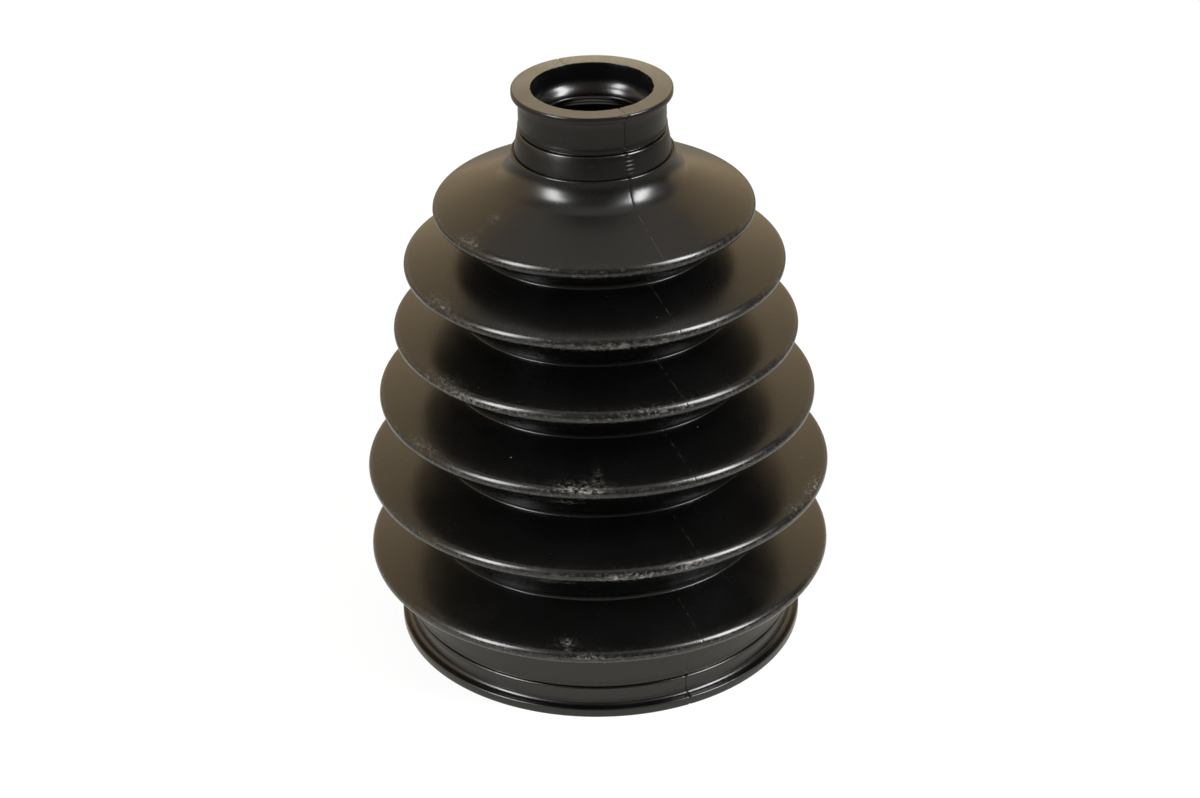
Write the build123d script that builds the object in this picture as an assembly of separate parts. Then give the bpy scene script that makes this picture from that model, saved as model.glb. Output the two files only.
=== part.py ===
from build123d import *

import os
from math import cos, radians, sin, tan

# Bellows boot for a drive joint: one blow-moulded skin of revolution, open at
# both ends, that stands on its large end. Millimetres; +Z is the axis, and the
# origin is the centre of the large end's face.
#
# The section is two outlines, the outside and the inside of the wall, each a
# list of corners (radius, height, rounding) that runs down from the small end.

# --- folds, from the small end to the large end
crest_radius = (33.3, 39.8, 42.7, 46.4, 49.6, 49.9)  # outermost radius of each fold
crest_pitch = (12.3, 15.0, 15.4, 17.4, 19.7)  # height from each crest to the next one down
last_crest_height = 18.7  # lowest crest above the large end's face
crest_round = 1.5  # outside radius of a crest
roof_angle = (23.5, 17.0, 13.0, 14.0, 13.0, 20.0)  # fall of each fold's upper flank, degrees
under_angle = (35.0, 39.0, 39.0, 41.5, 43.5, 31.5)  # rise of each lower flank, degrees
root_land = 1.0  # height of the narrow flat at the bottom of each valley
root_round = 0.35  # radius at the two edges of that flat
wall = 1.2  # thickness of the folds

# --- small collar
small_bore_radius = 12.5
small_collar_wall = 2.65  # bore to the seat of the small clamp
small_seat_height = 8.8  # groove up to the end face
small_foot_height = 4.5  # shoulder up to the groove
small_lip_rise = 1.35  # lip beyond the seat
small_lip_height = 1.4
small_lip_fillet = 0.4
small_bead_depth = 4.5  # plain bore above the sealing bead
small_bead_rise = 1.7
small_bead_height = 1.8
small_bead_slope = 1.5  # height of the lead-in above and below the bead's crest
small_bead_round = 1.4

# --- shoulder under the small collar: a flare, a fine slit and a ring
flare_rise = 1.05  # beyond the seat
flare_fillet = 1.0
slit_width = 0.3
slit_depth = 0.6  # below the flare's edge
ring_width = 0.4
ring_drop = 0.3  # top of the ring below the flare's edge

# --- neck, from the shoulder to the top fold
neck_height = 12.7  # from the top crest up to the shoulder
neck_fillet = 4.5  # from the shoulder into the first flank
neck_bore_radius = 13.5  # below the bead
neck_bore_fillet = 7.0

# --- large collar
large_bore_radius = 40.7
large_collar_wall = 1.5  # bore to the seat of the large clamp
large_groove_height = 6.3  # end face up to the groove
large_lip_rise = 1.8
large_lip_height = 2.0
large_lip_fillet = 0.9
large_bead_depth = 5.0
large_bead_rise = 0.9
large_bead_height = 1.0
large_bead_slope = 0.9
large_bead_round = 0.6

# --- details that both collars share
groove_width = 0.7  # moulded line that parts the seat from the foot
groove_depth = 0.8
rib_rise = 0.3  # how far the seat flares out to the groove's edge
rib_height = 0.8
seat_fillet = 1.0  # where a seat turns into a flank or a rib
edge_round = 0.3


def crest_heights():
    """Height of every crest, from the top one down."""
    heights = [last_crest_height]
    for pitch in reversed(crest_pitch):
        heights.insert(0, heights[0] + pitch)
    return heights


crest_height = crest_heights()
shoulder_height = crest_height[0] + neck_height
small_groove_base = shoulder_height + small_foot_height
overall_height = small_groove_base + small_seat_height
small_seat_radius = small_bore_radius + small_collar_wall
large_seat_radius = large_bore_radius + large_collar_wall


def roof_z(fold, radius, inset):
    """Height of a fold's upper flank at a radius, inset into the wall."""
    fall = radians(roof_angle[fold])
    centre = crest_radius[fold] - crest_round
    return crest_height[fold] + (crest_round - inset) / cos(fall) + (centre - radius) * tan(fall)


def under_z(fold, radius, inset):
    """Height of a fold's lower flank at a radius, inset into the wall."""
    rise = radians(under_angle[fold])
    centre = crest_radius[fold] - crest_round
    return crest_height[fold] - (crest_round - inset) / cos(rise) - (centre - radius) * tan(rise)


def root_radius(fold):
    """Radius of the valley under a fold: where its flanks leave the flat's height."""
    gap_at_axis = under_z(fold, 0, 0) - roof_z(fold + 1, 0, 0)
    widening = tan(radians(under_angle[fold])) + tan(radians(roof_angle[fold + 1]))
    return (root_land - gap_at_axis) / widening


def crest_corner(fold, inset):
    """Corner where a fold's two flanks would meet, rounded to the crest's arc."""
    roof, under = radians(roof_angle[fold]), radians(under_angle[fold])
    reach = (crest_round - inset) / sin((roof + under) / 2)
    lean = (under - roof) / 2
    radius = crest_radius[fold] - crest_round + reach * cos(lean)
    return radius, crest_height[fold] + reach * sin(lean), max(crest_round - inset, root_round)


def fold_corners(inset):
    """Corners of all the folds, from the first crest down to the last."""
    corners = []
    for fold in range(len(crest_radius)):
        corners.append(crest_corner(fold, inset))
        if fold + 1 < len(crest_radius):
            radius = root_radius(fold) - inset
            corners.append((radius, under_z(fold, radius, inset), root_round + inset))
            corners.append((radius, roof_z(fold + 1, radius, inset), root_round + inset))
    return corners


def groove_corners(seat, base):
    """Seat that flares out to a rib, the groove under it and the other rib."""
    rib, floor = seat + rib_rise, seat + rib_rise - groove_depth
    top = base + groove_width
    return [
        (seat, top + rib_height, seat_fillet),
        (rib, top, 0),
        (floor, top, 0),
        (floor, base, 0),
        (rib, base, 0),
        (seat, base - rib_height, seat_fillet),
    ]


def shoulder_corners():
    """Foot of the small collar: it flares out, then the slit, then the ring."""
    flare = small_seat_radius + flare_rise
    slit_floor = shoulder_height - slit_depth
    ring_top = shoulder_height - ring_drop
    ring = flare + slit_width + ring_width
    return [
        (small_seat_radius, shoulder_height, flare_fillet),
        (flare, shoulder_height, 0),
        (flare, slit_floor, 0),
        (flare + slit_width, slit_floor, 0),
        (flare + slit_width, ring_top, 0),
        (ring, ring_top, edge_round),
        (ring, roof_z(0, ring, 0), neck_fillet),
    ]


def outside():
    """Outer outline: small collar, folds, large collar."""
    small_lip_radius = small_seat_radius + small_lip_rise
    small_lip_base = overall_height - small_lip_height
    large_lip_radius = large_seat_radius + large_lip_rise
    return [
        (small_lip_radius, overall_height, edge_round),
        (small_lip_radius, small_lip_base, edge_round),
        (small_seat_radius, small_lip_base, small_lip_fillet),
        *groove_corners(small_seat_radius, small_groove_base),
        *shoulder_corners(),
        *fold_corners(0),
        (large_seat_radius, under_z(-1, large_seat_radius, 0), seat_fillet),
        *groove_corners(large_seat_radius, large_groove_height),
        (large_seat_radius, large_lip_height, large_lip_fillet),
        (large_lip_radius, large_lip_height, edge_round),
        (large_lip_radius, 0, edge_round),
    ]


def bead_corners(bore_above, bore_below, crest, top, slope, height, rounding):
    """Rounded sealing bead inside a bore, from its upper side down."""
    return [
        (bore_above, top, rounding),
        (crest, top - slope, rounding),
        (crest, top - slope - height, rounding),
        (bore_below, top - 2 * slope - height, rounding),
    ]


def small_bead():
    """Bead that seals on the shaft."""
    crest = small_bore_radius - small_bead_rise
    top = overall_height - small_bead_depth
    size = small_bead_slope, small_bead_height, small_bead_round
    return bead_corners(small_bore_radius, neck_bore_radius, crest, top, *size)


def large_bead():
    """Bead that seals on the joint's housing."""
    crest = large_bore_radius - large_bead_rise
    top = large_bead_depth + large_bead_height + 2 * large_bead_slope
    size = large_bead_slope, large_bead_height, large_bead_round
    return bead_corners(large_bore_radius, large_bore_radius, crest, top, *size)


def inside():
    """Inner outline: small bore, folds, large bore."""
    return [
        (small_bore_radius, overall_height, 0),
        *small_bead(),
        (neck_bore_radius, roof_z(0, neck_bore_radius, wall), neck_bore_fillet),
        *fold_corners(wall),
        (large_bore_radius, under_z(-1, large_bore_radius, wall), seat_fillet + wall),
        *large_bead(),
        (large_bore_radius, 0, 0),
    ]


def bellows_boot():
    """The whole skin: the rounded section turned about the axis."""
    corners = outside() + inside()[::-1]
    points = [(radius, 0, height) for radius, height, _ in corners]
    roundings = [rounding for *_, rounding in corners]
    section = make_face(FilletPolyline(*points, radius=roundings, close=True))
    return revolve(section, Axis.Z)


os.makedirs("parts", exist_ok=True)
export_step(bellows_boot(), "parts/bellows_boot.step")
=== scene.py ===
from math import radians

import bpy
import numpy as np
from bpy.props import FloatProperty, FloatVectorProperty, IntProperty, PointerProperty
from mathutils import Matrix, Vector


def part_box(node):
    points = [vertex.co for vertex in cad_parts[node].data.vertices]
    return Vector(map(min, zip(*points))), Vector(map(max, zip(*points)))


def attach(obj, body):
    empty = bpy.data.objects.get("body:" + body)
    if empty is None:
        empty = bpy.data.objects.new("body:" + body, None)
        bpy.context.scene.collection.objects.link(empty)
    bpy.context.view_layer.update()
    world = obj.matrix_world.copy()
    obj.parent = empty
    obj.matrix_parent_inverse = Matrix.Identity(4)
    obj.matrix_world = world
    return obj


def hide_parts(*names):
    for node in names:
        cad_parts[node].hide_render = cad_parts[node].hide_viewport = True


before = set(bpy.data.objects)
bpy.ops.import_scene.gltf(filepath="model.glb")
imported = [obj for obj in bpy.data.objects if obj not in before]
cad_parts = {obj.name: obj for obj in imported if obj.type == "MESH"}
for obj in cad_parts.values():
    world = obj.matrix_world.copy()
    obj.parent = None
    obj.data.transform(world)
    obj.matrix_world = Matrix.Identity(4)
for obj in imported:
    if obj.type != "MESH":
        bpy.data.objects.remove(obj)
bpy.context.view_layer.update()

bl_info = {
    "name": "Bellows boot",
    "version": (1, 0, 0),
    "blender": (4, 5, 0),
    "location": "3D View > Sidebar > Boot",
    "description": "A moulded drive-joint bellows boot, its finish and a plain studio",
    "category": "Object",
}

# The boot stands on its large collar, +Z is its axis and -Y its front. Sizes
# below are millimetres, and MM turns them into Blender's metres. An azimuth is
# in degrees round the axis: 0 is the front and 90 is +X.
MM = 0.001
NODE = "bellows_boot"
OVERALL_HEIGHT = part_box(NODE)[1][2] / MM

# Folds, from the small end to the large end: the radius and height of each crest,
# and how steeply its upper and its lower flank slope, in degrees.
CREST_RADIUS = (33.3, 39.8, 42.7, 46.4, 49.6, 49.9)
CREST_HEIGHT = (98.5, 86.2, 71.2, 55.8, 38.4, 18.7)
ROOF_ANGLE = (23.5, 17.0, 13.0, 14.0, 13.0, 20.0)
UNDER_ANGLE = (35.0, 39.0, 39.0, 41.5, 43.5, 31.5)
ROOT_ROUND = 0.22

# Small collar. A wall runs from the bore to the clamp's seat, a rise from the seat,
# and a drop from the end face down.
SMALL_WALL = 2.65
SMALL_LIP_RISE = 1.35
SMALL_LIP_HEIGHT = 1.4
SMALL_LIP_FILLET = 0.4
SMALL_GROOVE_DROP = 8.8
SHOULDER_DROP = 13.3
FLARE_RISE = 1.05
FLARE_ROUND = 0.35
SLIT_WIDTH = 0.3
SLIT_DEPTH = 0.6
RING_WIDTH = 0.4
RING_DROP = 0.3
RING_ROUND = 0.25

# Sealing bead in the small bore: its rise, and the drops and roundings of its start,
# the upper and lower edge of its crest, and its end.
SMALL_BEAD_RISE = 1.4
SMALL_BEAD_DROPS = (4.43, 6.17, 8.1, 9.3)
SMALL_BEAD_ROUNDS = (3.0, 3.0, 1.5, 1.4)

# Neck, from the small collar to the top fold.
NECK_FILLET = 6.0
NECK_BORE = 13.5
NECK_BORE_FILLET = 7.0

# Large collar, and the bead in its bore by heights in place of drops.
LARGE_WALL = 1.5
LARGE_GROOVE_Z = 6.3
LARGE_LIP_RISE = 1.8
LARGE_LIP_HEIGHT = 2.0
LARGE_LIP_FILLET = 0.9
LARGE_BEAD_RISE = 0.9
LARGE_BEAD_Z = (7.8, 6.9, 5.9, 5.0)
LARGE_BEAD_ROUNDS = (0.6, 0.6, 0.6, 0.6)

# Details that both collars share.
GROOVE_WIDTH = 0.7
GROOVE_DEPTH = 0.5
RIB_RISE = 0.22
RIB_HEIGHT = 0.8
RIB_ROUND = 0.45
SEAT_FILLET = 1.0
EDGE_ROUND = 0.3
BORE_ROUND = 0.1
FINE_ROUND = 0.08

# How fine the mesh is: how far a chord may stray from its arc, and the longest
# straight piece of the outline outside, inside and beside the small bore's burr.
CHORD_ERROR = 0.007
OUTSIDE_RUN = 2.0
INSIDE_RUN = 8.0
BURR_RUN = 0.7

# Heights of the large collar's top, the top fold's inner edge, the small collar's
# base, and the lower and upper edge of that collar's foot.
COLLAR_Z = 11.0
NECK_Z = OVERALL_HEIGHT - 19.0
SHOULDER_Z = OVERALL_HEIGHT - 13.7
FOOT_Z = (OVERALL_HEIGHT - 12.9, OVERALL_HEIGHT - 9.6)

# Parting line: its half width, the columns of the mesh beside it and the space they
# take, in degrees, its depth on the neck and on the folds as a share of that on the
# collars, the turn of its two patchy waves on the folds for a millimetre of radius
# and of height, and how far down the small bore it is cut.
SEAM_WIDTH = 0.13
SEAM_COLUMNS = (-0.9, -0.5, -0.3, -0.15, 0.0, 0.15, 0.3, 0.5, 0.9)
SEAM_SPACE = 1.2
SEAM_ON_NECK = 0.45
SEAM_ON_FOLDS = 0.14
SEAM_PATCHES = ((1.7, 1.0), (0.6, 1.9))
SEAM_IN_BORE = 0.3

# Slow unevenness of the blown folds, as two waves: height of the wave, its number
# round the boot, the height over which it turns by a radian, and its start.
WAVES = ((0.05, 2, 9.0, 0.0), (0.04, 3, -6.0, 1.3))

# Handling marks: azimuth in degrees, height, reach round and up, and strength.
SCUFFS = (
    (-4.5, 56.8, 4.2, 0.5, 0.9),
    (-0.5, 57.5, 0.35, 0.7, 0.8),
    (-9.0, 52.3, 3.0, 0.8, 0.5),
    (8.0, 85.6, 12.0, 0.6, 0.32),
    (18.0, 71.8, 7.0, 0.6, 0.3),
    (-42.0, 71.4, 14.0, 0.6, 0.2),
    (-12.0, 36.0, 3.0, 0.6, 0.5),
    (7.0, 38.2, 4.5, 0.6, 0.6),
    (22.0, 38.8, 4.0, 0.6, 0.6),
    (-8.5, 20.7, 1.2, 0.4, 0.45),
    (-2.0, 19.2, 2.5, 0.5, 0.5),
    (-50.5, 99.9, 2.5, 0.35, 0.4),
    (-52.5, 101.0, 1.0, 0.3, 0.3),
    (-51.5, 102.9, 1.5, 0.25, 0.25),
    (-53.5, 87.6, 3.0, 0.35, 0.45),
    (-47.0, 72.6, 4.5, 0.3, 0.28),
    (-52.0, 57.2, 4.0, 0.3, 0.3),
    (69.0, 39.7, 4.5, 0.25, 0.45),
    (58.0, 39.7, 2.0, 0.3, 0.4),
)

# Light wear that all the crests share: strength, and its reach up and inwards.
CREST_WEAR = 0.1
WEAR_HEIGHT = 1.1
WEAR_REACH = 1.2

# Ragged edge that the trimming knife left on the small bore: how far it strays, how
# far it reaches from the edge, the azimuth where it is strongest, how far round it
# stays strong, both in radians, and its share elsewhere.
BURR = 0.13
BURR_REACH = 0.45
BURR_TURN = radians(75.0)
BURR_SPREAD = 0.9
BURR_LEAST = 0.35
BURR_SEED = 7

# Witness ticks: degrees past the front parting line, half width and spacing.
TICKS_PAST = 2.6
TICKS_WIDTH = 0.6
TICK_SPACING = 0.85

# Width of the unwrapped skin, about the girth of the widest fold, and how near the
# ends of the boot the skin counts as trimmed.
UNWRAP_WIDTH = 314.0
FACE_DEPTH = 0.01

# Patterns of the skin. A noise is the size of its cells and its detail in octaves. A
# range is two values of a pattern, and its strength, or for the sheen the roughness,
# at each of them.
ELASTOMER_IOR = 1.53
SPECKS = (0.42, 5.0)
SPECK_RANGE = (0.62, 0.72, 0.0, 1.0)
CURLS = (1.1, 1.0)
CURL_STRETCH = (0.35, 1.0, 1.0)
CURL_LEVEL = 0.5
HAIR_RANGE = (0.01, 0.05, 1.0, 0.2)
BREAKS = (0.83, 2.0)
BREAK_RANGE = (0.4, 0.6, 0.0, 1.0)
NICK_CELL = 7.7
NICK_RANGE = (0.012, 0.03, 0.5, 0.0)
TICK_RANGE = (0.3, 0.8, 0.0, 0.3)
DOTS = (1.4, 3.0)
DOT_RANGE = (0.45, 0.65, 0.0, 0.06)
SHEEN = (11.0, 4.0)
SHEEN_RANGE = (0.3, 0.7, 0.22, 0.3)
MARK_DULLNESS = 0.4
GRAIN = (0.7, 3.0)
GRAIN_DEPTH = 0.04
GRAIN_STRENGTH = 0.12

# Patterns of the trimmed faces: how rough and how dark they are, from where to where
# across the boot a painted sheen makes them paler towards the back, and its level at
# both ends, then clouds and drag lines.
CUT_ROUGHNESS = 0.5
CUT_DARKEST = 0.32
PAINTED_SHEEN_RUN = (-4.0, 16.0)
PAINTED_SHEEN_LEVELS = (0.28, 1.2)
CLOUDS = (6.2, 5.0)
CLOUD_RANGE = (0.3, 0.7, 0.55, 1.0)
DRAG = (0.33, 3.0)
DRAG_STRETCH = (1.0, 0.1, 1.0)
DRAG_RANGE = (0.3, 0.7, 0.75, 1.1)
DRAG_DEPTH = 0.05
DRAG_STRENGTH = 0.3


def linear(code):
    """Linear RGBA of an sRGB hex code such as "1b1a19", by the sRGB curve: a straight
    line near black, and a power of 2.4 above it."""
    srgb = np.array([int(code[i:i + 2], 16) for i in (0, 2, 4)]) / 255.0
    low = srgb <= 0.04045
    values = np.where(low, srgb / 12.92, ((srgb + 0.055) / 1.055) ** 2.4)
    return (*[float(v) for v in values], 1.0)


class BootSizes(bpy.types.PropertyGroup):
    """Sizes of the moulding."""

    crest_round: FloatProperty(
        name="Crest radius", description="Outside radius of a fold's crest",
        default=1.5 * MM, unit="LENGTH", precision=5)
    wall: FloatProperty(
        name="Wall", description="Thickness of the folds",
        default=1.2 * MM, unit="LENGTH", precision=5)
    root_land: FloatProperty(
        name="Root", description="Height of the flat at the bottom of each valley",
        default=1.0 * MM, unit="LENGTH", precision=5)
    small_bore: FloatProperty(
        name="Small bore", description="Radius of the bore that grips the shaft",
        default=12.5 * MM, unit="LENGTH", precision=5)
    large_bore: FloatProperty(
        name="Large bore", description="Radius of the bore that grips the joint",
        default=40.7 * MM, unit="LENGTH", precision=5)
    seam_azimuth: FloatProperty(
        name="Parting line", description="Where the two mould halves met, from the front",
        default=radians(25.0), subtype="ANGLE")
    seam_depth: FloatProperty(
        name="Parting line depth", description="Depth of the fine line on the collars",
        default=0.2 * MM, unit="LENGTH", precision=5)
    around: IntProperty(
        name="Steps around", description="Divisions of the form of revolution",
        default=168, min=24)


class BootColours(bpy.types.PropertyGroup):
    """Colours of the finish, given as sRGB hex codes and kept as linear values."""

    skin: FloatVectorProperty(
        name="Skin", description="Moulded black elastomer",
        subtype="COLOR", size=3, min=0, max=1, default=linear("030303")[:3])
    cut: FloatVectorProperty(
        name="Cut face", description="Elastomer where the moulding was trimmed",
        subtype="COLOR", size=3, min=0, max=1, default=linear("716a5a")[:3])
    scuff: FloatVectorProperty(
        name="Scuff", description="Whitened marks of handling",
        subtype="COLOR", size=3, min=0, max=1, default=linear("95918b")[:3])


# ---------------------------------------------------------------- the section


def roof_z(fold, radius, inset, sizes):
    """Height of a fold's upper flank at a radius: a line that falls outwards and
    touches the crest's circle, moved into the wall by the inset."""
    fall = np.radians(ROOF_ANGLE[fold])
    outwards = CREST_RADIUS[fold] - sizes["crest_round"] - radius
    touch = (sizes["crest_round"] - inset) / np.cos(fall)
    return CREST_HEIGHT[fold] + touch + outwards * np.tan(fall)


def under_z(fold, radius, inset, sizes):
    """Height of a fold's lower flank at a radius: a line that rises outwards and
    touches the crest's circle, moved into the wall by the inset."""
    rise = np.radians(UNDER_ANGLE[fold])
    outwards = CREST_RADIUS[fold] - sizes["crest_round"] - radius
    touch = (sizes["crest_round"] - inset) / np.cos(rise)
    return CREST_HEIGHT[fold] - touch - outwards * np.tan(rise)


def crest_corner(fold, inset, sizes):
    """The corner where a fold's two flanks would meet, rounded to the crest's arc:
    it lies on the line that halves the angle between them."""
    roof, under = np.radians(ROOF_ANGLE[fold]), np.radians(UNDER_ANGLE[fold])
    rounding = sizes["crest_round"] - inset
    reach = rounding / np.sin((roof + under) / 2)
    lean = (under - roof) / 2
    radius = CREST_RADIUS[fold] - sizes["crest_round"] + reach * np.cos(lean)
    return radius, CREST_HEIGHT[fold] + reach * np.sin(lean), max(rounding, ROOT_ROUND)


def root_corners(fold, inset, sizes):
    """The two edges of the narrow flat under a fold. Its radius is the one at which
    the flanks of this fold and the next are the flat's height apart."""
    gap = under_z(fold, 0, 0, sizes) - roof_z(fold + 1, 0, 0, sizes)
    widening = np.tan(np.radians(UNDER_ANGLE[fold])) + np.tan(np.radians(ROOF_ANGLE[fold + 1]))
    root = (sizes["root_land"] - gap) / widening - inset
    heights = under_z(fold, root, inset, sizes), roof_z(fold + 1, root, inset, sizes)
    return [(root, height, ROOT_ROUND + inset) for height in heights]


def fold_corners(inset, sizes):
    """Corners of the folds from the top down: a crest, then the root under it."""
    corners = [crest_corner(0, inset, sizes)]
    for fold in range(1, len(CREST_RADIUS)):
        corners += root_corners(fold - 1, inset, sizes)
        corners.append(crest_corner(fold, inset, sizes))
    return corners


def seat_corners(seat, base):
    """Clamp seat that flares to a rib, the groove under it, and the rib below."""
    top = base + GROOVE_WIDTH
    rib, floor = seat + RIB_RISE, seat - GROOVE_DEPTH
    return [
        (seat, top + RIB_HEIGHT, SEAT_FILLET),
        (rib, top, FINE_ROUND),
        (floor, top, FINE_ROUND),
        (floor, base, FINE_ROUND),
        (rib, base, RIB_ROUND),
        (seat, base - RIB_HEIGHT, SEAT_FILLET),
    ]


def shoulder_corners(seat, top, sizes):
    """Edge of the small collar's foot, then a fine slit, then a ring."""
    flare = seat + FLARE_RISE
    inner = flare + SLIT_WIDTH
    outer = inner + RING_WIDTH
    return [
        (flare, top, FLARE_ROUND),
        (flare, top - SLIT_DEPTH, FINE_ROUND),
        (inner, top - SLIT_DEPTH, FINE_ROUND),
        (inner, top - RING_DROP, FINE_ROUND),
        (outer, top - RING_DROP, RING_ROUND),
        (outer, roof_z(0, outer, 0, sizes), NECK_FILLET),
    ]


def outside(sizes):
    """Corners (radius, height, rounding) of the outer outline, from the top down.
    The small collar's lower rib widens evenly into its foot, so it has no corner
    back to the seat."""
    top = OVERALL_HEIGHT
    seat = sizes["small_bore"] + SMALL_WALL
    big = sizes["large_bore"] + LARGE_WALL
    return [
        (seat + SMALL_LIP_RISE, top, EDGE_ROUND),
        (seat + SMALL_LIP_RISE, top - SMALL_LIP_HEIGHT, EDGE_ROUND),
        (seat, top - SMALL_LIP_HEIGHT, SMALL_LIP_FILLET),
        *seat_corners(seat, top - SMALL_GROOVE_DROP)[:-1],
        *shoulder_corners(seat, top - SHOULDER_DROP, sizes),
        *fold_corners(0, sizes),
        (big, under_z(-1, big, 0, sizes), SEAT_FILLET),
        *seat_corners(big, LARGE_GROOVE_Z),
        (big, LARGE_LIP_HEIGHT, LARGE_LIP_FILLET),
        (big + LARGE_LIP_RISE, LARGE_LIP_HEIGHT, EDGE_ROUND),
        (big + LARGE_LIP_RISE, 0.0, EDGE_ROUND),
    ]


def bead_corners(above, below, rise, heights, roundings):
    """A sealing bead from its upper side down: from the bore above it to its crest,
    along the crest, and back to the bore below it."""
    radii = (above, above - rise, above - rise, below)
    return list(zip(radii, heights, roundings))


def inside(sizes):
    """Corners of the inner outline, from the top down."""
    top = OVERALL_HEIGHT
    bore, big, wall = sizes["small_bore"], sizes["large_bore"], sizes["wall"]
    bead_z = [top - drop for drop in SMALL_BEAD_DROPS]
    return [
        (bore, top, BORE_ROUND),
        *bead_corners(bore, NECK_BORE, SMALL_BEAD_RISE, bead_z, SMALL_BEAD_ROUNDS),
        (NECK_BORE, roof_z(0, NECK_BORE, wall, sizes), NECK_BORE_FILLET),
        *fold_corners(wall, sizes),
        (big, under_z(-1, big, wall, sizes), SEAT_FILLET + wall),
        *bead_corners(big, big, LARGE_BEAD_RISE, LARGE_BEAD_Z, LARGE_BEAD_ROUNDS),
        (big, 0.0, BORE_ROUND),
    ]


def corner_arc(before, corner, after):
    """Points of one rounded corner: the arc of its radius that touches both legs,
    cut into even turns, none of which strays far from its chord."""
    place, radius = np.array(corner[:2]), corner[2]
    back = np.array(before[:2]) - place
    ahead = np.array(after[:2]) - place
    back, ahead = back / np.linalg.norm(back), ahead / np.linalg.norm(ahead)
    half = np.arccos(np.clip(back @ ahead, -1, 1)) / 2
    centre = place + (back + ahead) / np.linalg.norm(back + ahead) * radius / np.sin(half)
    start = place + back * radius / np.tan(half) - centre
    end = place + ahead * radius / np.tan(half) - centre
    turn = np.arctan2(start[0] * end[1] - start[1] * end[0], start @ end)
    step = 2 * np.arccos(1 - CHORD_ERROR / max(radius, FINE_ROUND))
    angle = np.linspace(0, turn, int(np.ceil(abs(turn) / step)) + 1)[:, None]
    across = np.array([-start[1], start[0]])
    return centre + start * np.cos(angle) + across * np.sin(angle)


def outline(corners, runs):
    """The closed outline of the rounded corners. The straight after each corner is
    divided into equal lengths no longer than that corner's run. Returns the points
    of the outline and the corner each belongs to."""
    legs = zip(corners[-1:] + corners[:-1], corners, corners[1:] + corners[:1])
    arcs = [corner_arc(*leg) for leg in legs]
    points = np.vstack(arcs)
    owner = np.repeat(np.arange(len(arcs)), [len(arc) for arc in arcs])
    ahead = np.roll(points, -1, axis=0)
    longest = np.array(runs)[owner]
    cuts = np.ceil(np.linalg.norm(ahead - points, axis=1) / longest).astype(int).clip(1)
    source = np.repeat(np.arange(len(points)), cuts)
    share = (np.arange(len(source)) - np.repeat(np.cumsum(cuts) - cuts, cuts)) / cuts[source]
    filled = points[source] + (ahead - points)[source] * share[:, None]
    return filled, owner[source]


# ------------------------------------------------------------------- the skin


def azimuths(sizes):
    """Azimuths of the columns: even steps round, and crowded ones beside the two
    parting lines so that the fine line has a shape of its own."""
    even = np.linspace(0, 2 * np.pi, sizes["around"], endpoint=False)
    seams = sizes["seam_azimuth"] + np.array([0, np.pi])
    crowded = (seams[:, None] + np.radians(SEAM_COLUMNS)).ravel()
    apart = np.abs(np.angle(np.exp(1j * (even[:, None] - seams)))).min(axis=1)
    kept = even[apart > np.radians(SEAM_SPACE)]
    return np.sort(np.concatenate([kept, crowded]) % (2 * np.pi))


def bell(distance, width):
    """A smooth bump: 1 at no distance, falling to 1/e at the width."""
    return np.exp(-(distance / width) ** 2)


def arc_away(turn, azimuth, radius):
    """Distance round the skin from an azimuth, in millimetres, for every point."""
    return np.abs(np.angle(np.exp(1j * (turn - azimuth)))) * radius


def parting_line(turn, section, sizes):
    """The fine line where the two mould halves met: 1 on each of the two seams."""
    seams = (sizes["seam_azimuth"], sizes["seam_azimuth"] + np.pi)
    return sum(bell(arc_away(turn, seam, section[:, 0:1]), SEAM_WIDTH) for seam in seams)


def parting_depth(line, section, sizes):
    """How deep the parting line is cut at every point: full on the collars and the
    trimmed end, shallower on the neck, and faint on the folds, where it comes and
    goes by the product of two sines of radius and height."""
    radius, height = section[:, 0:1], section[:, 1:2]
    on_collar = (height > SHOULDER_Z) | (height < COLLAR_Z)
    patchy = np.prod([np.sin(radius * a + height * b) for a, b in SEAM_PATCHES], axis=0)
    on_folds = SEAM_ON_FOLDS * (1 + patchy)
    share = np.select([on_collar, height > NECK_Z], [1.0, SEAM_ON_NECK], on_folds)
    return line * share * sizes["seam_depth"]


def scuff_marks(turn, section):
    """Strength of the handling marks at every point: a bell round each named place,
    over a light wear that all the crests share."""
    radius, height = section[:, 0:1], section[:, 1:2]
    marks = 0 * turn
    for edge, crest in zip(CREST_RADIUS, CREST_HEIGHT):
        marks = marks + CREST_WEAR * bell(height - crest, WEAR_HEIGHT) * (radius > edge - WEAR_REACH)
    for azimuth, level, along, across, strength in SCUFFS:
        beside = bell(arc_away(turn, radians(azimuth), radius), along)
        marks = marks + strength * beside * bell(height - level, across)
    return np.clip(marks, 0, 1)


def tick_marks(turn, section, sizes):
    """Where the mould's short witness ticks lie: just past the front seam, on the
    foot of the small collar."""
    radius, height = section[:, 0:1], section[:, 1:2]
    middle = sizes["seam_azimuth"] + radians(TICKS_PAST)
    beside = bell(arc_away(turn, middle, radius), TICKS_WIDTH)
    return beside * ((height > FOOT_Z[0]) & (height < FOOT_Z[1]))


def burr_shift(turn, section, sizes):
    """How far the knife's burr moves every point outwards: a seeded random amount a
    column, which fades from the edge of the small bore and away from its azimuth."""
    radius, height = section[:, 0:1], section[:, 1:2]
    edge = bell(np.hypot(radius - sizes["small_bore"], height - OVERALL_HEIGHT), BURR_REACH)
    ragged = np.random.default_rng(BURR_SEED).uniform(-1, 1, len(turn)) * BURR
    away = np.angle(np.exp(1j * (turn - BURR_TURN)))
    return edge * ragged * (BURR_LEAST + (1 - BURR_LEAST) * bell(away, BURR_SPREAD))


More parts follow.
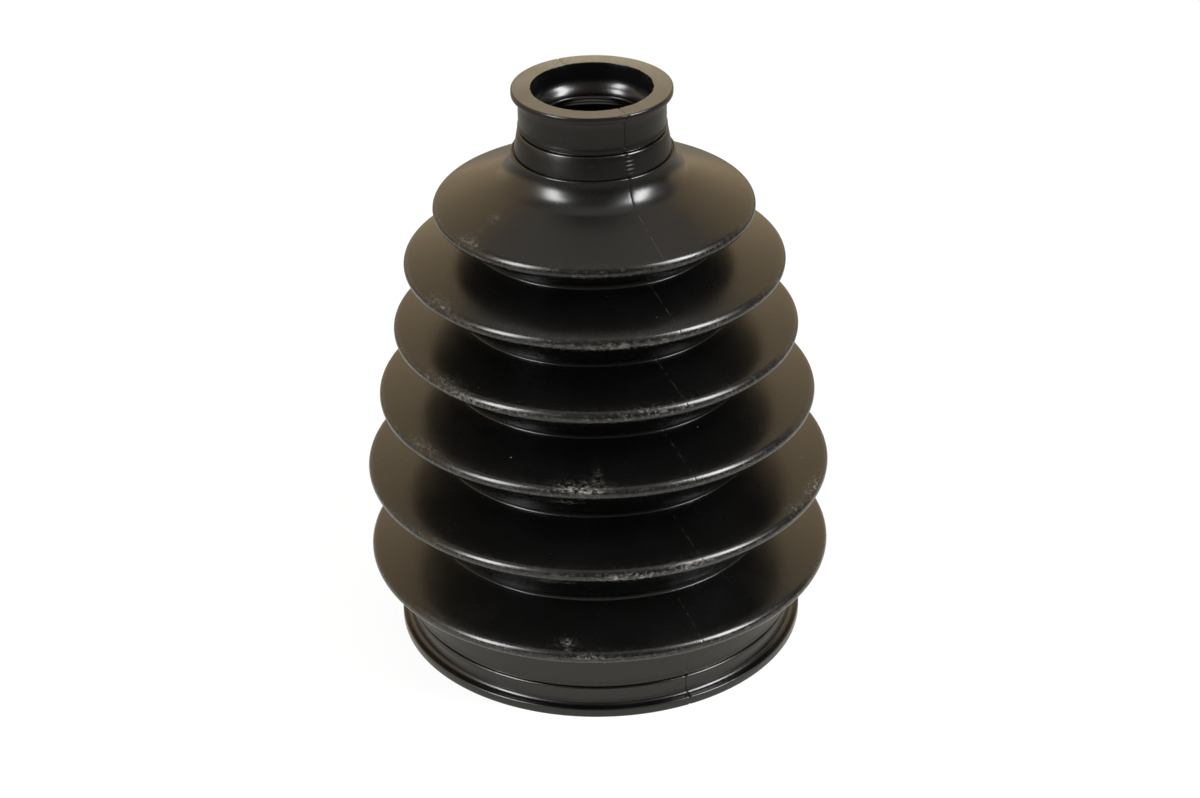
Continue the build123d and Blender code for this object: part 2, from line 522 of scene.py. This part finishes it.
def skin_mesh(sizes):
    """The section turned about the axis. A column at azimuth a holds the outline's
    points (r, z) at (r sin a, -r cos a, z), each moved along the outline's normal:
    in by the parting line, and in or out by the slow unevenness of a blown wall, a
    sum of low waves in azimuth and height. The knife's burr moves it once more."""
    corners = outside(sizes)
    inner = inside(sizes)[::-1]
    runs = [OUTSIDE_RUN] * len(corners) + [INSIDE_RUN] * (len(inner) - 2) + [BURR_RUN] * 2
    section, owner = outline(corners + inner, runs)
    along = np.roll(section, -1, axis=0) - np.roll(section, 1, axis=0)
    normal = np.column_stack([-along[:, 1], along[:, 0]])
    normal /= np.linalg.norm(normal, axis=1)[:, None]
    turn = azimuths(sizes)
    radius, height = section[:, 0:1], section[:, 1:2]
    outer = (owner < len(corners))[:, None] | (height > OVERALL_HEIGHT - SEAM_IN_BORE)

    folds = (height > COLLAR_Z) & (height < NECK_Z)
    waves = sum(size * np.sin(count * turn + height / run + start)
                for size, count, run, start in WAVES)
    line = outer * parting_line(turn, section, sizes)
    lift = folds * waves - parting_depth(line, section, sizes)

    r = radius + normal[:, 0:1] * lift + burr_shift(turn, section, sizes)
    z = height + normal[:, 1:2] * lift
    points = np.stack([r * np.sin(turn), -r * np.cos(turn), z], axis=2)
    marks = {
        "scuff": outer * scuff_marks(turn, section),
        "seam": line * folds,
        "tick": outer * tick_marks(turn, section, sizes),
    }
    return points, section, marks


def run_length(section):
    """Distance along the closed outline to each of its points, and back to the
    first one, in millimetres."""
    steps = np.linalg.norm(np.roll(section, -1, axis=0) - section, axis=1)
    return np.concatenate([[0.0], np.cumsum(steps)])


def grid_faces(rows, columns):
    """Quads of a grid closed both ways, with their fronts on the outline's left."""
    row, column = np.meshgrid(np.arange(rows), np.arange(columns), indexing="ij")
    below, right = (row + 1) % rows, (column + 1) % columns
    corners = [row * columns + column, below * columns + column,
               below * columns + right, row * columns + right]
    return np.stack(corners, axis=2).reshape(-1, 4)


def mesh_object(name, points, faces):
    """A smooth-shaded object of those points, in millimetres, and quads."""
    mesh = bpy.data.meshes.new(name)
    mesh.vertices.add(len(points))
    mesh.vertices.foreach_set("co", (points * MM).astype(np.float32).ravel())
    mesh.loops.add(faces.size)
    mesh.loops.foreach_set("vertex_index", faces.astype(np.int32).ravel())
    mesh.polygons.add(len(faces))
    mesh.polygons.foreach_set("loop_start", np.arange(0, faces.size, 4, dtype=np.int32))
    mesh.polygons.foreach_set("use_smooth", np.ones(len(faces), dtype=bool))
    mesh.update(calc_edges=True)
    mesh.validate()
    piece = bpy.data.objects.new(name, mesh)
    bpy.context.scene.collection.objects.link(piece)
    return piece


def write_marks(piece, marks):
    """Stores each mark as one value at every vertex, for the finish to read."""
    for name, values in marks.items():
        layer = piece.data.attributes.new(name, "FLOAT", "POINT")
        layer.data.foreach_set("value", values.astype(np.float32).ravel())


def write_unwrap(piece, section, columns):
    """Unwraps the skin: across by the column, the same width at every height, and
    up by the run along the outline, both in metres."""
    run = run_length(section)
    row, column = np.meshgrid(np.arange(len(section)), np.arange(columns), indexing="ij")
    step = UNWRAP_WIDTH / columns
    across = np.stack([column, column, column + 1, column + 1], axis=2) * step
    up = np.stack([run[row], run[row + 1], run[row + 1], run[row]], axis=2)
    corners = np.stack([across, up], axis=3) * MM
    layer = piece.data.uv_layers.new(name="skin")
    layer.data.foreach_set("uv", corners.astype(np.float32).ravel())


# ------------------------------------------------------------------- finishes


def add_node(tree, kind, output, settings=None, links=None):
    """Adds a node of that kind, its settings by name or socket and its inputs
    linked, and returns the output of that name or place."""
    node = tree.nodes.new(kind)
    for key, value in (settings or {}).items():
        if isinstance(key, str) and hasattr(node, key):
            setattr(node, key, value)
        else:
            node.inputs[key].default_value = value
    for key, source in (links or {}).items():
        tree.links.new(source, node.inputs[key])
    return node.outputs[output]


def new_finish(name):
    """A finish with an elastomer's index, and the places its patterns are read at."""
    material = bpy.data.materials.new(name)
    material.use_nodes = True
    tree = material.node_tree
    shader = tree.nodes["Principled BSDF"]
    shader.inputs["IOR"].default_value = ELASTOMER_IOR
    return material, tree, shader, add_node(tree, "ShaderNodeTexCoord", "Object")


def cells(size, detail):
    """Settings of a noise whose cells have that size in millimetres."""
    return {"Scale": 1 / (size * MM), "Detail": detail}


def span(low, high, at_low, at_high):
    """Settings that turn the values from low to high evenly into those two."""
    return {"From Min": low, "From Max": high, "To Min": at_low, "To Max": at_high}


def mottle(tree, place, noise, limits):
    """A soft mottle: a noise whose values are taken over a range."""
    level = add_node(tree, "ShaderNodeTexNoise", "Fac", cells(*noise), {"Vector": place})
    return add_node(tree, "ShaderNodeMapRange", "Result", span(*limits), {"Value": level})


def scuff_strokes(tree, place):
    """Strokes of the whitened scuffs. A curled hair runs where a soft noise, drawn out
    round the boot, is near its middle level, and a faint haze lies between the hairs.
    A second noise breaks them up, and specks lie among them."""
    unwrapped = add_node(tree, "ShaderNodeUVMap", "UV", {"uv_map": "skin"})
    drawn_out = add_node(
        tree, "ShaderNodeMapping", "Vector", {"Scale": CURL_STRETCH}, {"Vector": unwrapped})
    curls = add_node(
        tree, "ShaderNodeTexNoise", "Fac", cells(*CURLS), {"Vector": drawn_out})
    off_level = add_node(
        tree, "ShaderNodeMath", 0, {"operation": "SUBTRACT", 1: CURL_LEVEL}, {0: curls})
    off_level = add_node(tree, "ShaderNodeMath", 0, {"operation": "ABSOLUTE"}, {0: off_level})
    hairs = add_node(
        tree, "ShaderNodeMapRange", "Result", span(*HAIR_RANGE), {"Value": off_level})
    breaks = mottle(tree, place, BREAKS, BREAK_RANGE)
    broken = add_node(tree, "ShaderNodeMath", 0, {"operation": "MULTIPLY"}, {0: hairs, 1: breaks})
    specks = mottle(tree, place, SPECKS, SPECK_RANGE)
    return add_node(tree, "ShaderNodeMath", 0, {"operation": "MAXIMUM"}, {0: specks, 1: broken})


def witness_ticks(tree, place):
    """The mould's witness ticks: a wave of height whose crests are the ticks."""
    height = add_node(tree, "ShaderNodeSeparateXYZ", "Z", {}, {0: place})
    turn = 2 * np.pi / (TICK_SPACING * MM)
    phase = add_node(tree, "ShaderNodeMath", 0, {"operation": "MULTIPLY", 1: turn}, {0: height})
    wave = add_node(tree, "ShaderNodeMath", 0, {"operation": "SINE"}, {0: phase})
    return add_node(tree, "ShaderNodeMapRange", "Result", span(*TICK_RANGE), {"Value": wave})


def moulded_elastomer(colours):
    """Black thermoplastic polyester elastomer as it leaves a blow mould: a deep
    black that is semi-gloss, with a soft sheen from the mould's fine texture.
    Handling has left whitened scuffs and a few fine nicks."""
    material, tree, shader, place = new_finish("moulded_black_elastomer")

    # Nicks up to half a millimetre across, a few centimetres apart: the cores of
    # large cells, where one lies in the skin.
    core = add_node(
        tree, "ShaderNodeTexVoronoi", "Distance",
        {"Scale": 1 / (NICK_CELL * MM)}, {"Vector": place})
    pale = add_node(tree, "ShaderNodeMapRange", "Result", span(*NICK_RANGE), {"Value": core})

    # Scuffs, ticks and the paler specks of the parting line on the folds show where
    # the mesh holds their mark, and of all the marks the palest one shows.
    patterns = {
        "scuff": scuff_strokes(tree, place),
        "tick": witness_ticks(tree, place),
        "seam": mottle(tree, place, DOTS, DOT_RANGE),
    }
    for name, pattern in patterns.items():
        mark = add_node(tree, "ShaderNodeAttribute", "Fac", {"attribute_name": name})
        shown = add_node(
            tree, "ShaderNodeMath", 0, {"operation": "MULTIPLY"}, {0: mark, 1: pattern})
        pale = add_node(tree, "ShaderNodeMath", 0, {"operation": "MAXIMUM"}, {0: pale, 1: shown})
    ends = {"data_type": "RGBA", 6: (*colours.skin, 1.0), 7: (*colours.scuff, 1.0)}
    tree.links.new(add_node(tree, "ShaderNodeMix", 2, ends, {0: pale}), shader.inputs["Base Color"])

    # The sheen wanders over a centimetre or so, and a mark is duller than the skin.
    sheen = mottle(tree, place, SHEEN, SHEEN_RANGE)
    dulled = add_node(
        tree, "ShaderNodeMath", 0, {"operation": "MULTIPLY_ADD", 1: MARK_DULLNESS},
        {0: pale, 2: sheen})
    tree.links.new(dulled, shader.inputs["Roughness"])

    # The mould's texture, drawn coarser than it is so that it shows.
    grain = add_node(tree, "ShaderNodeTexNoise", "Fac", cells(*GRAIN), {"Vector": place})
    relief = {"Strength": GRAIN_STRENGTH, "Distance": GRAIN_DEPTH * MM}
    bump = add_node(tree, "ShaderNodeBump", "Normal", relief, {"Height": grain})
    tree.links.new(bump, shader.inputs["Normal"])
    return material


def trimmed_elastomer(colours):
    """The same elastomer where a knife trimmed the moulding: dull and grey-brown,
    clouded, with its drag lines, and a painted sheen that makes it paler at the back."""
    material, tree, shader, place = new_finish("trimmed_black_elastomer")
    shader.inputs["Roughness"].default_value = CUT_ROUGHNESS

    # Painted sheen: the colour grows paler from the front of the face to the back, in place of
    # reflected light. The clouds and drag lines below are the face's own tone.
    across = add_node(tree, "ShaderNodeSeparateXYZ", "Y", {}, {0: place})
    start, end = (reach * MM for reach in PAINTED_SHEEN_RUN)
    painted_sheen_and_clouds = add_node(
        tree, "ShaderNodeMapRange", "Result", span(start, end, *PAINTED_SHEEN_LEVELS), {"Value": across})
    drawn_out = add_node(
        tree, "ShaderNodeMapping", "Vector", {"Scale": DRAG_STRETCH}, {"Vector": place})
    drag = add_node(tree, "ShaderNodeTexNoise", "Fac", cells(*DRAG), {"Vector": drawn_out})
    lines = add_node(tree, "ShaderNodeMapRange", "Result", span(*DRAG_RANGE), {"Value": drag})
    clouds = mottle(tree, place, CLOUDS, CLOUD_RANGE)
    for pattern in (clouds, lines):
        painted_sheen_and_clouds = add_node(
            tree, "ShaderNodeMath", 0, {"operation": "MULTIPLY"}, {0: painted_sheen_and_clouds, 1: pattern})
    darkest = [value * CUT_DARKEST for value in colours.cut]
    ends = {"data_type": "RGBA", 6: (*darkest, 1.0), 7: (*colours.cut, 1.0)}
    tree.links.new(add_node(tree, "ShaderNodeMix", 2, ends, {0: painted_sheen_and_clouds}), shader.inputs["Base Color"])

    relief = {"Strength": DRAG_STRENGTH, "Distance": DRAG_DEPTH * MM}
    bump = add_node(tree, "ShaderNodeBump", "Normal", relief, {"Height": drag})
    tree.links.new(bump, shader.inputs["Normal"])
    return material


# --------------------------------------------------------------------- studio

# Camera: its place, how far it is turned down, to the right and about its line of
# sight, in degrees, its sensor and lens, and the nearest and furthest that it sees.
CAMERA_PLACE = Vector((1.94, -524.165, 347.141))
CAMERA_PITCH = 29.385
CAMERA_YAW = -0.149
CAMERA_ROLL = -0.974
CAMERA_SENSOR = 36.0
CAMERA_LENS = 84.11
CAMERA_RANGE = (10.0, 50000.0)

# Floor and wall: the floor's radius, the pinhole at its centre, the gap under the
# boot, the wall's height at the front and at the back, the back's middle, its half
# width and the turn over which it rises, and the steps round.
FLOOR_RADIUS = 1700.0
FLOOR_HOLE = 0.001
FLOOR_GAP = 0.02
WALL_LOW = 540.0
WALL_HIGH = 1900.0
BACK_AZIMUTH = radians(-160.0)
BACK_SPREAD = radians(88.0)
BACK_EASE = radians(30.0)
STAGE_STEPS = 97

# Paper: how much of its light and shade the floor shows near the boot, from where
# to where that fades, and the tones that gloss sees near and far.
SHADOW_KEPT = 0.15
FADE_FROM = 120.0
FADE_TO = 320.0
PAPER_TONES = {
    "floor": ("f2ecdf", "a09a8f"),
    "front_wall": ("5f5c57", "5f5c57"),
    "back_wall": ("ffe3b8", "ffe3b8"),
}

# Lamps: the point that all of them face, the size and distance of the two softboxes,
# and the name, azimuth, elevation and watts of each. Then a wide one overhead, and
# the sky.
SOFTBOX_AIM = (0.0, 0.0, 60.0)
SOFTBOX_SIZE = (340.0, 660.0)
SOFTBOX_DISTANCE = 1100.0
SOFTBOXES = (("softbox_left", -55.5, 27.0, 14.5), ("softbox_right", 66.5, 36.0, 17.0))
OVERHEAD_PLACE = (0.0, 100.0, 1600.0)
OVERHEAD_SIZE = (1800.0, 1800.0)
OVERHEAD_POWER = 5.0
OVERHEAD_COLOUR = "fff4e6"
SKY_COLOUR = "fff8ee"
SKY_LEVEL = 0.2


def add_camera():
    """The camera: turned down by its pitch, round by its yaw and about its own
    line of sight by its roll."""
    data = bpy.data.cameras.new("camera")
    data.sensor_width = CAMERA_SENSOR
    data.lens = CAMERA_LENS
    data.clip_start, data.clip_end = (limit * MM for limit in CAMERA_RANGE)
    camera = bpy.data.objects.new("camera", data)
    turn = (
        Matrix.Rotation(radians(-CAMERA_YAW), 4, "Z")
        @ Matrix.Rotation(radians(90.0 - CAMERA_PITCH), 4, "X")
        @ Matrix.Rotation(radians(CAMERA_ROLL), 4, "Z")
    )
    camera.matrix_world = Matrix.Translation(CAMERA_PLACE * MM) @ turn
    bpy.context.scene.collection.objects.link(camera)
    bpy.context.scene.camera = camera


def add_softbox(name, place, size, power, colour="ffffff"):
    """A rectangular softbox at a place, in millimetres, that faces the boot."""
    data = bpy.data.lights.new(name, "AREA")
    data.shape = "RECTANGLE"
    data.size, data.size_y = (side * MM for side in size)
    data.energy = power
    data.color = linear(colour)[:3]
    lamp = bpy.data.objects.new(name, data)
    lamp.location = Vector(place) * MM
    sight = Vector(SOFTBOX_AIM) - Vector(place)
    lamp.rotation_euler = sight.to_track_quat("-Z", "Y").to_euler()
    lamp.visible_camera = False
    bpy.context.scene.collection.objects.link(lamp)


def seen_white(name, near, far, kept):
    """White paper, lit as matt paint. The camera sees it as an even white, less the
    kept share, which still shows light and shadow and fades out far from the boot.
    Gloss and glass see it as even too, in colours that go from near to far."""
    material = bpy.data.materials.new(name)
    material.use_nodes = True
    tree = material.node_tree
    tree.nodes.remove(tree.nodes["Principled BSDF"])
    white = linear("ffffff")
    place = add_node(tree, "ShaderNodeTexCoord", "Object")
    distance = add_node(tree, "ShaderNodeVectorMath", "Value", {"operation": "LENGTH"}, {0: place})
    camera, gloss, glass = (
        add_node(tree, "ShaderNodeLightPath", kind)
        for kind in ("Is Camera Ray", "Is Glossy Ray", "Is Transmission Ray"))

    start, end = FADE_FROM * MM, FADE_TO * MM
    faded = add_node(
        tree, "ShaderNodeMapRange", "Result", span(start, end, 0.0, 1.0), {"Value": distance})
    tones = {"data_type": "RGBA", 6: linear(near), 7: linear(far)}
    tone = add_node(tree, "ShaderNodeMix", 2, tones, {0: faded})
    shown = add_node(
        tree, "ShaderNodeMix", 2, {"data_type": "RGBA", 7: white}, {0: camera, 6: tone})
    paint = add_node(tree, "ShaderNodeBsdfDiffuse", "BSDF", {"Color": white})
    glow = add_node(tree, "ShaderNodeEmission", "Emission", {"Strength": 1.0}, {"Color": shown})

    even = add_node(
        tree, "ShaderNodeMapRange", "Result", span(start, end, 1.0 - kept, 1.0),
        {"Value": distance})
    seen = add_node(tree, "ShaderNodeMath", 0, {"operation": "MAXIMUM"}, {0: camera, 1: gloss})
    seen = add_node(tree, "ShaderNodeMath", 0, {"operation": "MAXIMUM"}, {0: seen, 1: glass})
    seen = add_node(tree, "ShaderNodeMath", 0, {"operation": "MULTIPLY"}, {0: seen, 1: even})
    paper = add_node(tree, "ShaderNodeMixShader", 0, {}, {0: seen, 1: paint, 2: glow})
    tree.links.new(paper, tree.nodes["Material Output"].inputs["Surface"])
    return material


def floor_and_backdrop():
    """A round floor, and a wall of paper round it: rings of radius and height,
    turned about the axis. The wall is low at the front and rises by a smooth
    step in azimuth to its full height at the back."""
    turn = np.linspace(-np.pi, np.pi, STAGE_STEPS)
    off_back = np.abs((turn - BACK_AZIMUTH + np.pi) % (2 * np.pi) - np.pi)
    share = np.clip((BACK_SPREAD - off_back) / BACK_EASE, 0, 1)
    rise = WALL_LOW + (WALL_HIGH - WALL_LOW) * share ** 2 * (3 - 2 * share)
    behind = off_back <= BACK_SPREAD
    for name, kept, inner, heights, shown in (
        ("floor", SHADOW_KEPT, FLOOR_HOLE, 0 * turn, np.ones_like(behind)),
        ("front_wall", 0.0, FLOOR_RADIUS, rise, ~behind),
        ("back_wall", 0.0, FLOOR_RADIUS, rise, behind),
    ):
        r = np.array((inner, FLOOR_RADIUS))[:, None] + 0 * turn
        z = np.stack([0 * turn, heights]) - FLOOR_GAP
        points = np.stack([r * np.sin(turn), -r * np.cos(turn), z], axis=2).reshape(-1, 3)
        faces = grid_faces(2, len(turn))[:len(turn) - 1]
        sheet = mesh_object(name, points, faces[shown[:-1]])
        sheet.data.materials.append(seen_white(name + "_paper", *PAPER_TONES[name], kept))


def softbox_place(azimuth, elevation):
    """A softbox's place: its azimuth, elevation and distance from the point it faces."""
    turn, lift = radians(azimuth), radians(elevation)
    level = SOFTBOX_DISTANCE * np.cos(lift)
    height = SOFTBOX_AIM[2] + SOFTBOX_DISTANCE * np.sin(lift)
    return level * np.sin(turn), -level * np.cos(turn), height


# ------------------------------------------------------------------ operators


class BOOT_OT_skin(bpy.types.Operator):
    """Builds the moulded skin in place of the plain solid"""

    bl_idname = "boot.skin"
    bl_label = "Moulded skin"

    def execute(self, context):
        group = context.scene.boot_sizes
        lengths = ("crest_round", "wall", "root_land", "small_bore", "large_bore", "seam_depth")
        sizes = {name: getattr(group, name) / MM for name in lengths}
        sizes["seam_azimuth"] = group.seam_azimuth
        sizes["around"] = group.around
        points, section, marks = skin_mesh(sizes)
        rows, columns = points.shape[:2]
        piece = mesh_object("boot_skin", points.reshape(-1, 3), grid_faces(rows, columns))
        write_marks(piece, marks)
        write_unwrap(piece, section, columns)
        colours = context.scene.boot_colours
        piece.data.materials.append(moulded_elastomer(colours))
        piece.data.materials.append(trimmed_elastomer(colours))
        middle = (section[:, 1] + np.roll(section[:, 1], -1)) / 2
        trimmed = (middle > OVERALL_HEIGHT - FACE_DEPTH) | (middle < FACE_DEPTH)
        indices = np.repeat(trimmed.astype(np.int32), columns)
        piece.data.polygons.foreach_set("material_index", indices)
        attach(piece, "root")
        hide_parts(NODE)
        return {"FINISHED"}


class BOOT_OT_studio(bpy.types.Operator):
    """Sets up the floor, the backdrop, the lamps and the camera"""

    bl_idname = "boot.studio"
    bl_label = "Studio"

    def execute(self, context):
        scene = context.scene
        scene.view_settings.view_transform = "Standard"
        world = bpy.data.worlds.new("studio")
        world.use_nodes = True
        sky = world.node_tree.nodes["Background"]
        sky.inputs["Color"].default_value = linear(SKY_COLOUR)
        sky.inputs["Strength"].default_value = SKY_LEVEL
        scene.world = world
        floor_and_backdrop()
        for name, azimuth, elevation, power in SOFTBOXES:
            add_softbox(name, softbox_place(azimuth, elevation), SOFTBOX_SIZE, power)
        add_softbox("overhead", OVERHEAD_PLACE, OVERHEAD_SIZE, OVERHEAD_POWER, OVERHEAD_COLOUR)
        add_camera()
        return {"FINISHED"}


class BOOT_PT_panel(bpy.types.Panel):
    """Lists the boot's operators and its sizes"""

    bl_idname = "BOOT_PT_panel"
    bl_label = "Bellows boot"
    bl_space_type = "VIEW_3D"
    bl_region_type = "UI"
    bl_category = "Boot"

    def draw(self, context):
        for operator in STEPS:
            self.layout.operator(operator.bl_idname)
        for group in (context.scene.boot_sizes, context.scene.boot_colours):
            for name in group.bl_rna.properties.keys():
                if name not in ("rna_type", "name"):
                    self.layout.prop(group, name)


STEPS = (BOOT_OT_skin, BOOT_OT_studio)
CLASSES = (BootSizes, BootColours, *STEPS, BOOT_PT_panel)


def register():
    for cls in CLASSES:
        bpy.utils.register_class(cls)
    bpy.types.Scene.boot_sizes = PointerProperty(type=BootSizes)
    bpy.types.Scene.boot_colours = PointerProperty(type=BootColours)


def unregister():
    del bpy.types.Scene.boot_colours
    del bpy.types.Scene.boot_sizes
    for cls in reversed(CLASSES):
        bpy.utils.unregister_class(cls)


def main():
    """Registers the add-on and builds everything."""
    register()
    bpy.ops.boot.skin()
    bpy.ops.boot.studio()


if __name__ == "__main__":
    main()
